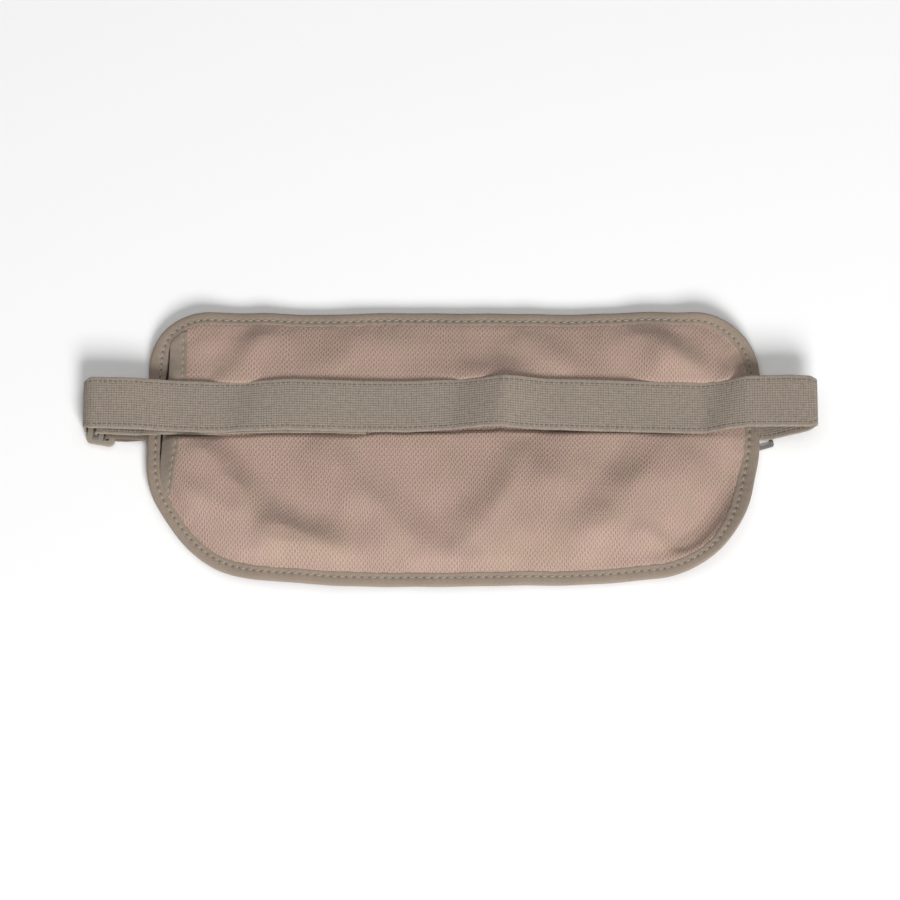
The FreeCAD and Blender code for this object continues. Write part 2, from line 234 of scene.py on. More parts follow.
# ------------------------------------------------------------ mesh helpers
def in_scene(name, mesh, material, replaced, body):
    """A smooth object with its material and body, which hides the nodes that it replaces."""
    mesh.materials.append(material)
    mesh.polygons.foreach_set("use_smooth", np.ones(len(mesh.polygons), bool))
    piece = bpy.data.objects.new(name, mesh)
    bpy.context.scene.collection.objects.link(piece)
    if replaced:
        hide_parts(*replaced)
    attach(piece, body)
    return piece


def make_piece(name, points, faces, lay, material, replaced=()):
    """A soft piece from points in millimetres. lay is the cloth's own coordinates."""
    mesh = bpy.data.meshes.new(name)
    mesh.from_pydata(to_world(points).tolist(), [], [tuple(map(int, f)) for f in faces])
    mesh.validate()
    if lay is not None:
        flat = np.zeros((len(mesh.vertices), 3), np.float32)
        flat[:, : lay.shape[1]] = lay
        mesh.attributes.new("lay", "FLOAT_VECTOR", "POINT").data.foreach_set("vector", flat.ravel())
    return in_scene(name, mesh, material, replaced, "pouch")


def tube_faces(rows, columns, closed_rows, closed_columns):
    """Quads over a grid of points, numbered row by row."""
    faces = []
    for i in range(rows if closed_rows else rows - 1):
        for j in range(columns if closed_columns else columns - 1):
            a = i * columns + j
            b = i * columns + (j + 1) % columns
            c = ((i + 1) % rows) * columns + (j + 1) % columns
            d = ((i + 1) % rows) * columns + j
            faces.append((a, b, c, d))
    return faces


def capped_tube(rows, columns, base=0):
    """Faces of a tube over a grid of points that starts at base, closed at both ends."""
    faces = tube_faces(rows, columns, False, True)
    faces.append(tuple(reversed(range(columns))))
    faces.append(tuple(range((rows - 1) * columns, rows * columns)))
    return [tuple(base + i for i in face) for face in faces]


def grid_of(*values):
    """Points whose coordinates are numbers that spread over rows and columns."""
    return np.stack(np.broadcast_arrays(*values), -1).reshape(-1, len(values))


def smooth_step(t):
    """0 up to 0, 1 from 1 on, and smooth between them."""
    t = np.clip(t, 0, 1)
    return t * t * (3 - 2 * t)


def wander(points, scale, seed):
    """Smooth noise from -1 to 1 at each point."""
    return np.array([noise.noise(Vector((x / scale, y / scale, seed))) for x, y in points])


def wander_along(s, scale, seed):
    return wander(np.column_stack([s, 0 * s]), scale, seed)


# ------------------------------------------------------------ how the mesh back lies
# Folds: (route of the crest, width of the slope up to it on the left of the route, reach of
# the slope down on the right, height). Swellings: (x, y, half length, half width, turn in
# degrees, height). A height less than 0 makes a hollow.
FOLDS = [
    ([(-142, 26), (-130, 8), (-119, -6), (-108, -18), (-100, -28), (-92, -36), (-82, -43), (-70, -47),
      (-58, -49), (-46, -51), (-34, -58)], 15.0, 16.0, 8.6),
    ([(-137, -8), (-125, -21), (-115, -34)], 6.0, 6.0, 2.8),
    ([(-146, 34), (-132, 14), (-119, -3), (-106, -16), (-98, -26)], 13.0, 14.0, 3.2),
    ([(-66, 4), (-52, -14), (-38, -30), (-24, -42), (-8, -51)], 18.0, 16.0, 4.2),
    ([(-24, -58), (-2, -50), (12, -41), (20, -30), (27, -16), (32, 2)], 17.0, 22.0, 5.2),
    ([(44, 8), (55, -15), (63, -26), (78, -40)], 22.0, 16.0, 4.6),
    ([(50, -50), (68, -36), (80, -25), (90, -12), (104, 6)], 16.0, 22.0, 5.4),
    ([(84, -39), (96, -46), (110, -56)], 6.5, 8.0, 3.4),
    ([(60, -58), (90, -53), (110, -46), (121, -35), (127, -20), (130, 4)], 14.0, 7.0, -3.8),
    ([(82, 65), (101, 49), (111, 41), (128, 25)], 10.0, 12.0, 4.6),
    ([(-120, 24), (-102, 40), (-93, 51), (-84, 68)], 10.0, 12.0, 4.6),
    ([(32, 61), (46, 46), (57, 32)], 9.0, 11.0, 2.8),
    ([(99, 30), (98, 46), (90, 62)], 17.0, 9.0, 3.2),
    ([(-62, 30), (-50, 46), (-47, 62)], 14.0, 9.0, 1.8),
]
SWELLINGS = [
    (108, -14, 24, 14, 28, 1.8),
    (44, -24, 22, 15, -10, 1.2),
    (-116, 54, 11, 9, 0, 2.0),
    (121, 55, 13, 9, -30, 1.6),
    (-66, -14, 20, 12, -25, 0.6),
    (6, -12, 13, 12, 0, 0.7),
    (-14, -31, 10, 8, 0, -0.8),
    (-28, 50, 16, 8, 0, 0.8),
    (68, 50, 9, 8, 0, 0.6),
]
EDGE_RAISES = [      # where the bound edge stands up from the ground: x, y, reach, height
    (128, -42, 25, 7.4),
    (120, 62, 26, 2.0),
    (-124, 60, 20, 1.8),
    (-40, -66, 50, 0.4),
    (20, 66, 40, 0.4),
]
BINDING_TILT = 0.13                      # its inner edge is higher, but not at the right
EDGE_SHARE = 0.45                        # part of the folds' height that the bound edge follows
BELT_SEAM_Y = 16.0
FOLD_UNEVEN = 0.55                       # how much the folds' height varies
RELIEF_BLUR = 2.4
NEAR_RISE = 7.0                          # the mesh rises from its seam over these two lengths
FAR_RISE = 30.0
FREE_FROM_SEAM = 7.5                     # the folds begin over this width
PUCKER = 0.16                            # small waves beside the seam
PUCKER_PITCH = 8.3
PUCKER_REACH = 6.5
PRESSED_HEIGHT = 8.4                     # the mesh's greatest height under the belt
PRESSED_SHARE = 0.8                      # part of a fold's height that the belt presses flat
TOP_RUN_ABOVE = 9.7                      # the belt's run over the mesh is above this height
TOP_RUN_FROM_X = -160.0                  # and right of this place
TAIL_END_X = -35.0                       # left of it the belt's free end lies under the belt
BELT_LIFT = 4.2                          # how far the mesh stands up to meet the belt's upper edge
OVER_LINING = 0.5
RELIEF_X = np.arange(-150.0, 150.5, 1.0)
RELIEF_Y = np.arange(-72.0, 72.5, 1.0)


def smooth_route(route):
    """The route with its corners cut three times."""
    points = np.array(route, float)
    for _ in range(3):
        cut = [points[0]]
        for a, b in zip(points, points[1:]):
            cut += [0.75 * a + 0.25 * b, 0.25 * a + 0.75 * b]
        points = np.array(cut + [points[-1]])
    return points


def route_distance(xy, route):
    """Distance from each point to a route, more than 0 on its right, and how far along, 0 to 1."""
    best = np.full(len(xy), 1e9)
    signed = np.zeros(len(xy))
    where = np.zeros(len(xy))
    for i, (a, b) in enumerate(zip(route, route[1:])):
        along = b - a
        t = np.clip(((xy - a) @ along) / (along @ along), 0, 1)
        out = xy - (a + t[:, None] * along)
        d = np.hypot(*out.T)
        right = out[:, 0] * along[1] - out[:, 1] * along[0]
        nearer = d < best
        best[nearer] = d[nearer]
        signed[nearer] = (np.sign(right) * d)[nearer]
        where[nearer] = (i + t[nearer]) / (len(route) - 1)
    return signed, where


def fold_profile(d, width, reach):
    """A wide hollow slope up to the crest on one side, and a slope down on the other."""
    up = np.clip(1 + d / width, 0, 1) ** 1.3
    down = bell(np.clip(d, 0, None), reach, 1.4)
    return np.where(d < 0, up, down)


def soften(grid, reach):
    """The grid blurred with a bell of the reach given, in cells."""
    cells = np.arange(-3 * math.ceil(reach), 3 * math.ceil(reach) + 1)
    shares = np.exp(-(cells**2) / (2 * reach**2))
    shares /= shares.sum()
    for axis in (0, 1):
        edge = [(0, 0), (0, 0)]
        edge[axis] = (len(cells) // 2, len(cells) // 2)
        padded = np.pad(grid, edge, "edge")
        grid = np.apply_along_axis(lambda line: np.convolve(line, shares, "valid"), axis, padded)
    return grid


def relief_grid():
    """Height of the folds and swellings over the pouch, on a grid of 1 mm cells."""
    xy = grid_of(RELIEF_X, RELIEF_Y[:, None])
    relief = np.zeros(len(xy))
    uneven = 1 + FOLD_UNEVEN * wander(xy, 17, 30.0)
    for route, width, reach, height in FOLDS:
        d, where = route_distance(xy, smooth_route(route))
        fade = np.sin(math.pi * np.clip(where, 0, 1)) ** 1.1
        relief += height * fade * uneven * fold_profile(d, width, reach)
    for x, y, long, short, turn, height in SWELLINGS:
        a = math.radians(turn)
        dx = (xy[:, 0] - x) * math.cos(a) + (xy[:, 1] - y) * math.sin(a)
        dy = -(xy[:, 0] - x) * math.sin(a) + (xy[:, 1] - y) * math.cos(a)
        relief += height * bell(dx, long) * bell(dy, short)
    relief += 0.35 * wander(xy, 30, 1.0) + 0.16 * wander(xy, 12, 2.0)
    return soften(relief.reshape(len(RELIEF_Y), -1), RELIEF_BLUR)


RELIEF = relief_grid()


def relief_at(xy):
    """The relief grid's height at each point."""
    fx = np.clip(xy[:, 0] - RELIEF_X[0], 0, len(RELIEF_X) - 1.001)
    fy = np.clip(xy[:, 1] - RELIEF_Y[0], 0, len(RELIEF_Y) - 1.001)
    i, j = fy.astype(int), fx.astype(int)
    u, v = fx - j, fy - i
    low = RELIEF[i, j] * (1 - u) + RELIEF[i, j + 1] * u
    high = RELIEF[i + 1, j] * (1 - u) + RELIEF[i + 1, j + 1] * u
    return low * (1 - v) + high * v


def belt_seam_share(xy):
    """1 at the pouch's two ends where the belt is sewn in, 0 away from them."""
    return bell(xy[:, 1] - BELT_SEAM_Y, 17.0, 4) * smooth_step((abs(xy[:, 0]) - 100) / 25)


def edge_raise(xy, inside):
    """How far the bound edge stands up and tilts. It stays level where the belt is sewn in."""
    xy = np.asarray(xy, float)
    found = nearest_edge(xy)
    seam = EDGE_XY[found] - EDGE_NORMAL[found] * (BINDING + 1.5)
    raised = EDGE_SHARE * relief_at(seam) + mounds(seam, EDGE_RAISES)
    at_right = smooth_step((seam[:, 0] - 100) / 25)
    raised += BINDING_TILT * (1 - 3.4 * at_right) * (np.clip(inside, 0, 7.0) - STITCH_INSET)
    return raised * (1 - 0.9 * belt_seam_share(xy))


def seam_follow(xy, inside):
    """How the inner layers follow the bound edge up and down."""
    return edge_raise(xy, inside) * bell(np.clip(inside - BINDING, 0, None), 4.5)


def inner_height(xy, rim_height, crown):
    """Height of a lining sheet's upper face."""
    inside, _ = edge_distance(xy)
    height = rim_height + (crown - rim_height) * smooth_step((inside - BINDING) / 8.0)
    return height + seam_follow(xy, inside)


def belt_over(xy):
    """Height of the belt's underside, and how far each point is below and above its two edges."""
    top_run = [(x, y, z) for x, y, z, _, _ in BELT_ROUTE if z > TOP_RUN_ABOVE and x > TOP_RUN_FROM_X]
    top_run = np.array(top_run[::-1])
    middle = np.interp(xy[:, 0], top_run[:, 0], top_run[:, 1])
    under = np.interp(xy[:, 0], top_run[:, 0], top_run[:, 2]) - BELT_THICK / 2
    below = middle - BELT_WIDTH / 2 - xy[:, 1]
    above = xy[:, 1] - middle - BELT_WIDTH / 2
    return under, below, above


def mesh_height(xy):
    """Height of the mesh back's upper face above the ground."""
    xy = np.asarray(xy, float)
    inside, along = edge_distance(xy)
    near = np.clip(inside - BINDING + 1.0, 0, None)
    rise = 1 - (np.exp(-near / NEAR_RISE) + np.exp(-near / FAR_RISE)) / 2
    free = smooth_step((near - 0.5) / FREE_FROM_SEAM)
    under, below, above = belt_over(xy)
    over_tail = smooth_step((TAIL_END_X - xy[:, 0]) / 12)
    pressed = 1 - smooth_step((below - 1.2 * over_tail) / 2.2)
    pressed *= 1 - smooth_step((above + 1.5 + over_tail) / 2.5)
    relief = relief_at(xy) * free
    relief -= PRESSED_SHARE * pressed * np.clip(relief, 0, None)
    ripple = PUCKER * np.sin(2 * math.pi * along / PUCKER_PITCH + 4.0 * wander(xy, 30, 4.0))
    ripple *= 0.6 + wander(xy, 25, 9.0)
    relief += ripple * bell(near, PUCKER_REACH) * smooth_step(near / 1.5)
    height = MESH_RIM + (MESH_CROWN - MESH_RIM) * rise + relief + edge_raise(xy, inside) * (1 - free)
    lift = np.clip(under - 0.6 - height, 0, BELT_LIFT) * free
    height += lift * bell(above - 0.5, 8.0) * smooth_step((above + 3) / 3)
    most = PRESSED_HEIGHT - 0.1 * over_tail + 7.5 * (1 - pressed)
    lowest = inner_height(xy, LINING_RIM, LINING_CROWN) + OVER_LINING
    height = most - np.logaddexp(0, (most - height) * 3.0) / 3.0
    return lowest + np.logaddexp(0, (height - lowest) * 4.0) / 4.0


# ------------------------------------------------------------ cloth sheets
REACH_X = 146.0                          # grids of cloth start out this wide and high
REACH_Y = (-68.0, 67.0)


def cloth_grid(step, x_left=None, y_range=None):
    """A grid of points over the pouch, its border moved onto the line where its layers end."""
    y0, y1 = y_range or REACH_Y
    xs = np.linspace(-REACH_X, REACH_X, int(2 * REACH_X / step) + 1)
    ys = np.linspace(y0, y1, max(3, int((y1 - y0) / step) + 1))
    xy = grid_of(xs, ys[:, None])
    if x_left is not None:
        left = x_left(xy[:, 1])
        xy[:, 0] = left + (xy[:, 0] + REACH_X) * (REACH_X - left) / (2 * REACH_X)
    inside, _ = edge_distance(xy)
    columns = len(xs)
    quads = np.array(tube_faces(len(ys), columns, False, False))
    kept = quads[(inside[quads] > SEAM_ALLOWANCE).sum(1) >= 2]
    used, index = np.unique(kept, return_inverse=True)
    faces = index.reshape(kept.shape)
    xy = xy[used]
    for _ in range(2):
        inside, _ = edge_distance(xy)
        out = inside < SEAM_ALLOWANCE
        xy[out] -= EDGE_NORMAL[nearest_edge(xy)][out] * (SEAM_ALLOWANCE - inside[out])[:, None]
        if y_range is not None:
            xy[:, 1] = np.clip(xy[:, 1], y0, y1)
    return xy, faces


def thicken(xy, faces, upper, thick):
    """A closed sheet: an upper face at the heights given, a lower face, and a rim."""
    top = np.column_stack([xy, upper])
    bottom = np.column_stack([xy, upper - thick])
    n = len(xy)
    edges = dict.fromkeys((a, b) for f in faces for a, b in zip(f, np.roll(f, -1)))
    sides = [(b, a, a + n, b + n) for a, b in edges if (b, a) not in edges]
    all_faces = [tuple(f) for f in faces] + [tuple(f[::-1] + n) for f in faces] + sides
    return np.vstack([top, bottom]), all_faces


def cloth_layer(name, node, xy, faces, height, thick, look):
    """A layer of cloth under the heights given, with its flat x and y as the cloth's own coordinates.
    """
    points, all_faces = thicken(xy, faces, height, thick)
    piece = make_piece(name, points, all_faces, points[:, :2], look, [node])
    x, y = xy[faces].transpose(2, 0, 1)
    area = 0.5 * (x * np.roll(y, -1, 1) - y * np.roll(x, -1, 1)).sum()
    abs(area) * MM**2


HEM_PATH = [      # y, x of the mesh's free edge, width of the tape that shows or is sewn in
    (-34.0, -150.0, 2.0),
    (-30.5, -137.2, 2.8),
    (-26.0, -138.4, 5.4),
    (-19.0, -139.0, 7.0),
    (-9.0, -138.0, 7.5),
    (0.0, -137.3, 8.1),
    (7.0, -136.9, 8.7),
    (20.0, -135.2, 8.5),
    (35.0, -134.5, 8.2),
    (49.0, -134.4, 8.0),
    (64.0, -134.8, 7.8),
]
HEM_RUN = (-30.0, 62.0)                  # y of its two ends, before the binding covers them
HEM_STITCH = 2.1                         # from the tape's right-hand edge


def hem_edge(y):
    """x of the free edge of the mesh at the side opening, and the tape's width."""
    ys, xs, widths = np.array(HEM_PATH).T
    near = np.array([-2.0, 0.0, 2.0])[:, None] + np.atleast_1d(y)[None, :]
    return np.interp(near, ys, xs).mean(0), np.interp(near, ys, widths).mean(0)


def back_mesh():
    xy, faces = cloth_grid(0.9, x_left=lambda y: hem_edge(y)[0])
    cloth_layer("back_mesh", "back_mesh_panel", xy, faces, mesh_height(xy), MESH_THICK,
                birdseye_mesh())


def inner_sheet(name, node, rim_height, crown, y_range=None):
    """A lining sheet inside the pouch."""
    xy, faces = cloth_grid(2.0, y_range=y_range)
    look = plain_cloth("lining_cloth", LINING_COLOUR)
    cloth_layer(name, node, xy, faces, inner_height(xy, rim_height, crown), LINING_THICK,
                look)


def panel_height(xy, y_range, rims):
    """Height of a front panel's outer face: it sags to the ground between its seams."""
    inside, along = edge_distance(xy)
    d = inside - BINDING + 0.5
    low, high = y_range
    if low > REACH_Y[0]:
        d = np.minimum(d, xy[:, 1] - low - rims[0])
    if high < REACH_Y[1]:
        d = np.minimum(d, high - rims[1] - xy[:, 1])
    d = np.clip(d, 0, None)
    sag = 1 - bell(d, PANEL_SAG_REACH, 1.5)
    wave = 0.35 * wander(xy, 17, 7.0) + 0.18 * wander(xy, 8, 8.0)
    wave += 0.2 * np.sin(2 * math.pi * along / 8.0) * bell(d, 5)
    height = PANEL_RIM - sag * (PANEL_RIM - PANEL_SAG_HEIGHT) + wave * sag
    height += seam_follow(xy, inside)
    return np.clip(height, ABOVE_FLOOR, None)


def front_panel(name, node, y_range, rims):
    xy, faces = cloth_grid(1.2, y_range=y_range)
    look = plain_cloth("pack_cloth", PACK_COLOUR)
    cloth_layer(name, node, xy, faces, panel_height(xy, y_range, rims) + PANEL_THICK, PANEL_THICK,
                look)


# ------------------------------------------------------------ edge binding and stitches
def binding_profile():
    """Section of the folded tape: inward distance and height, once round."""
    high, low = BINDING_HIGH, BINDING_LOW
    middle = (high + low) / 2
    half = (high - low) / 2
    upper = [
        (BINDING + 0.05, high - 0.72), (BINDING + 0.1, high - 0.45), (BINDING - 0.1, high - 0.22),
        (BINDING - 0.5, high - 0.1), (BINDING - 1.1, high - 0.08), (STITCH_INSET + 0.6, high - 0.1),
        (STITCH_INSET + 0.25, high - 0.2), (STITCH_INSET, high - 0.26),
        (STITCH_INSET - 0.3, high - 0.18), (STITCH_INSET - 0.8, high - 0.03),
        (2.4, high + 0.02), (1.7, high - 0.02),
    ]
    turn = np.linspace(math.pi / 2, -math.pi / 2, 9)
    nose = [(1.15 - 1.15 * math.cos(a) ** 0.9, middle + half * math.sin(a) * 0.97) for a in turn]
    lower = [(d, 2 * middle - z) for d, z in reversed(upper)]
    inner = [(BINDING - 0.3, low + 0.75), (3.0, low + 0.6), (1.0, middle - 0.9),
             (1.0, middle + 0.9), (3.0, high - 0.6), (BINDING - 0.3, high - 0.75)]
    return np.array(upper + nose + lower + inner)


def binding_spread(xy):
    """The binding is wider where it lies flattened: high up at the left, and low down at the right."""
    at_left = bell(xy[:, 1] - 41, 11.0) * (xy[:, 0] < -100)
    at_right = bell(xy[:, 1] + 16, 24.0, 4) * (xy[:, 0] > 100)
    return 1 + 0.42 * at_left + 0.3 * at_right


def fitted_pitch(total):
    return total / round(total / STITCH_PITCH)


def pinch_at(s, pitch):
    """1 at each needle hole, 0 halfway between them."""
    return (0.5 + 0.5 * np.cos(2 * math.pi * s / pitch)) ** 2


def edge_binding():
    s, xy, normal = outline(STITCH_PITCH / 6)
    profile = binding_profile()
    total = s[-1] + s[1]
    pitch = fitted_pitch(total)
    around = run_along(profile)
    outward = np.where(profile[:, 1] > (BINDING_HIGH + BINDING_LOW) / 2, 1, -1)
    near = bell(profile[:, 0] - STITCH_INSET, 1.0)
    reach = np.clip(profile[:, 0] / BINDING, 0, 1)
    loose = wander_along(s, 17.0, 3.0)[:, None]
    finer = wander_along(s, 4.0, 5.0)[:, None]
    inward = profile[:, 0] * binding_spread(xy)[:, None] + reach**3 * (0.30 * loose + 0.22 * finer)
    flat = (xy[:, None] - normal[:, None] * inward[..., None]).reshape(-1, 2)
    swell = (0.12 * loose + 0.10 * finer) * (0.3 + reach) - 0.34 * pinch_at(s, pitch)[:, None] * near
    height = (profile[:, 1] + outward * swell).ravel()
    height += edge_raise(flat, np.tile(profile[:, 0], len(s)))
    points = np.column_stack([flat, height])
    faces = tube_faces(len(s), len(profile), True, True)
    seams = [around[i] for i in np.where(np.abs(profile[:, 0] - STITCH_INSET) < 0.01)[0]]
    material = ribbed_tape("edge_tape", pitch, (seams[0], seams[-1]))
    piece = make_piece("edge_binding_tape", points, faces, grid_of(s[:, None], around), material,
                       ["edge_binding"])
    total * MM


def stitch_row(name, route, heights, side, replaced=(), run=None):
    """Separate stitches along a route: each is a short rounded thread whose ends dip in."""
    if run is None:
        run = run_along(route)
    pitch = fitted_pitch(run[-1] - run[0])
    count = round((run[-1] - run[0]) / pitch)
    number = np.arange(count)[:, None]
    t = np.linspace(0, 1, 7)
    angle = 2 * math.pi * np.arange(6) / 6
    uneven = 0.10 * np.sin(number * 12.9898)
    here = run[0] + number * pitch + (pitch - STITCH_LENGTH) / 2 + uneven + t * STITCH_LENGTH

    middle = points_at(here, run, route)
    ahead = unit(points_at(here + 0.4, run, route) - middle)
    across = np.stack([-ahead[..., 1], ahead[..., 0]], -1)
    arch = np.clip(np.sin(math.pi * t), 0, 1) ** 0.6
    radius = THREAD / 2 * (0.35 + 0.65 * arch)[:, None]
    sideways = radius * np.cos(angle) + 0.30 * (t[:, None] - 0.5)
    z = np.interp(here, run, heights) - side * STITCH_DIP * (1 - arch)
    xy = middle[:, :, None] + across[:, :, None] * sideways[..., None]
    z = z[:, :, None] + 0.75 * radius * np.sin(angle)
    points = np.concatenate([xy, z[..., None]], -1).reshape(-1, 3)
    each = len(t) * len(angle)
    faces = [f for k in range(count) for f in capped_tube(len(t), len(angle), k * each)]
    make_piece(name, points, faces, None, thread_material(), replaced)


def binding_stitches():
    s, xy, normal = outline(1.0)
    inset = STITCH_INSET * binding_spread(xy)
    route = xy - normal * inset[:, None]
    raised = edge_raise(route, np.full(len(route), STITCH_INSET))
    route = np.vstack([route, route[:1]])
    raised = np.append(raised, raised[0])
    run = np.append(s, s[-1] + s[1])
    stitch_row("binding_stitches_top", route, raised + BINDING_HIGH - 0.10, 1, ["binding_thread"], run)
    stitch_row("binding_stitches_under", route, raised + BINDING_LOW + 0.10, -1, (), run)


# ------------------------------------------------------------ side opening's hem
def hem_profile():
    """Section of the tape folded over the mesh's edge: part of its width, distance, height."""
    return np.array([
        (0, 0.55, -0.9), (0, -0.1, -0.85), (0, -0.45, -0.5), (0, -0.5, 0.0), (0, -0.4, 0.35),
        (0, 0.0, 0.55), (0, 0.6, 0.62), (0.25, 0, 0.60), (0.5, 0, 0.62), (1, -HEM_STITCH - 0.7, 0.60),
        (1, -HEM_STITCH - 0.35, 0.50), (1, -HEM_STITCH, 0.40), (1, -HEM_STITCH + 0.35, 0.48),
        (1, -HEM_STITCH + 0.7, 0.56), (1, -0.6, 0.56), (1, -0.2, 0.48), (1, 0, 0.28), (1, -0.02, 0.02),
        (0.8, 0, 0.02), (0.4, 0, 0.02), (0.05, 0, 0.02), (0, 0.3, -0.4), (0, 0.6, -0.6),
    ])


def opening_hem():
    """Tape folded over the mesh's free edge; it ends under the binding at both ends."""
    ys = np.arange(*HEM_RUN, STITCH_PITCH / 6)
    left, width = hem_edge(ys)
    profile = hem_profile()
    away = profile[:, 0] * width[:, None] + profile[:, 1]
    xs = left[:, None] + away
    base = mesh_height(grid_of(np.maximum(xs, left[:, None]), ys[:, None])).reshape(xs.shape)
    pitch = fitted_pitch(np.ptp(ys))
    shown = profile[:, 2] > 0.1
    near = bell(profile[:, 1] + HEM_STITCH, 1.0) * (profile[:, 0] == 1) * shown
    lift = 0.10 * wander_along(ys, 9.0, 21.0)
    pinch = 0.28 * pinch_at(ys - ys[0], pitch)[:, None] * near
    z = base + profile[:, 2] - pinch + lift[:, None] * shown
    inside = edge_distance(grid_of(xs, ys[:, None]))[0].reshape(xs.shape)
    z -= 0.45 * np.clip(BINDING + 0.6 - inside, 0, 4.0)
    keep = (inside > SEAM_ALLOWANCE).all(1)
    points = grid_of(xs, ys[:, None], z).reshape(*xs.shape, 3)[keep].reshape(-1, 3)
    lay = grid_of((ys - ys[0])[keep, None], away[keep])
    faces = capped_tube(keep.sum(), len(profile))
    material = ribbed_tape("hem_tape", pitch)
    piece = make_piece("opening_hem_tape", points, faces, lay, material, ["opening_hem"])
    hem_stitches(ys, left + width - HEM_STITCH, lift, pitch)


def hem_stitches(ys, xs, lift, pitch):
    """The hem's stitches, from one needle hole to another, where the binding leaves them in view."""
    route = np.column_stack([xs, ys])
    heights = mesh_height(route) + 0.50 + lift
    inside, _ = edge_distance(route)
    run = ys[inside > BINDING + 0.3] - ys[0]
    first = pitch * math.ceil(run[0] / pitch)
    last = pitch * math.floor(run[-1] / pitch)
    steps = ys[0] + np.linspace(first, last, 90)
    route = np.column_stack([np.interp(steps, ys, xs), steps])
    stitch_row("hem_stitches", route, np.interp(steps, ys, heights), 1, ["hem_thread"], steps)


# ------------------------------------------------------------ belt
UNDER_BAR = 0.8
TAB_OVER_BAR = 5.0
TAIL_OVER_BAR = 6.7
BELT_SEAM = 3.85
FOLD_LEFT = -174.6
FOLD_RIGHT = 170.6
SLOT_1 = -167.1
SLOT_2 = -162.5
ADJUSTER_YAW = -10.0

BELT_ROUTE = [       # x, y, height, bend radius, turn of the webbing in degrees
    (139.2, 16.0, BELT_SEAM, 0, 0),
    (148.0, 16.6, BELT_SEAM, 14, 0),
    (FOLD_RIGHT, 20.0, 12.6, 1.3, 0),
    (FOLD_RIGHT, 20.2, 15.9, 1.3, 0),
    (158.0, 20.5, 16.0, 40, 0),
    (138.0, 20.3, 15.7, 8, 0),
    (118.0, 18.4, 9.8, 9, 0),
    (98.0, 18.8, 9.8, 60, 0),
    (66.0, 19.5, 10.9, 60, 0),
    (42.0, 19.8, 12.3, 40, 0),
    (22.0, 20.7, 16.0, 14, 0),
    (1.0, 19.6, 12.4, 30, 0),
    (-22.0, 18.8, 11.1, 60, 0),
    (-46.0, 19.0, 11.2, 60, 0),
    (-78.0, 19.8, 12.0, 60, 0),
    (-112.0, 18.4, 11.2, 60, 0),
    (-134.0, 19.0, 11.9, 60, 0),
    (-152.0, 20.0, 13.2, 50, 0),
    (FOLD_LEFT, 20.4, 13.2, 5, 0),
    (FOLD_LEFT, 20.0, UNDER_BAR, 1.7, 0),
    (SLOT_1, 19.3, UNDER_BAR, 0.9, ADJUSTER_YAW),
    (SLOT_1, 19.2, TAIL_OVER_BAR, 0.9, ADJUSTER_YAW),
    (-150.0, 18.4, TAIL_OVER_BAR, 14, 0),
    (-137.0, 18.0, 10.2, 14, 0),
    (-122.0, 17.6, 9.6, 40, 0),
    (-86.0, 18.9, 9.3, 60, 0),
    (-60.0, 19.0, 9.3, 60, 0),
    (-41.5, 18.2, 9.3, 0, 0),
]
TAB_ROUTE = [
    (-138.8, 16.3, BELT_SEAM, 0, 0),
    (-148.0, 16.4, BELT_SEAM, 7, 0),
    (-155.5, 16.7, UNDER_BAR, 7, 0),
    (SLOT_2, 17.2, UNDER_BAR, 0.9, ADJUSTER_YAW),
    (SLOT_2, 17.2, TAB_OVER_BAR, 0.9, ADJUSTER_YAW),
    (-146.4, 16.5, TAB_OVER_BAR, 0, 0),
]
BELT_TWISTS = [      # x, half length, tilt of the belt's face
    (-98, 8, -0.13), (6, 10, -0.10), (30, 9, 0.06), (127, 8, -0.18), (-60, 18, 0.03), (70, 20, 0.03),
]
FOLD_CORNER = 1.9           # the belt's corners draw in over this length at its two end folds
FOLD_NARROWING = 0.11
SELVEDGE = 0.5              # radius of the belt's rounded edges
SEWN_ROW = 2.2              # from its edge
LEAN = 0.42                 # how much the belt leans on its arch
LEAN_X = 12.0
LEAN_REACH = 22.0


def rounded_route(corners):
    """Points and turns along straight runs joined by arcs."""
    points = [np.array(corners[0][:3], float)]
    turns = [corners[0][4]]
    for before, this, after in zip(corners, corners[1:], corners[2:]):
        point = np.array(this[:3], float)
        come = unit(point - np.array(before[:3]))
        leave = unit(np.array(after[:3]) - point)
        bend = math.acos(np.clip(come @ leave, -1, 1))
        reach = this[3] * math.tan(bend / 2)
        middle = point + unit(leave - come) * (this[3] / math.cos(bend / 2))
        first = point - come * reach - middle
        last = point + leave * reach - middle
        steps = max(3, math.ceil(math.degrees(bend) / 9))
        for i in range(steps + 1):
            t = i / steps
            spoke = first * math.sin((1 - t) * bend) + last * math.sin(t * bend)
            points.append(middle + spoke / math.sin(bend))
            turns.append(this[4])
    points.append(np.array(corners[-1][:3], float))
    turns.append(corners[-1][4])
    return np.array(points), np.array(turns, float)


def even_route(corners, step):
    """The rounded route at even steps, finer in its tight folds."""
    points, turns = rounded_route(corners)
    run = run_along(points)
    s = np.arange(0, run[-1], step)
    s = np.unique(np.round(np.concatenate([s, run]), 3))
    kept = [s[0]]
    for value in s[1:]:
        if value - kept[-1] > 0.18:
            kept.append(value)
    s = np.array(kept)
    return s, points_at(s, run, points), np.interp(s, run, turns)


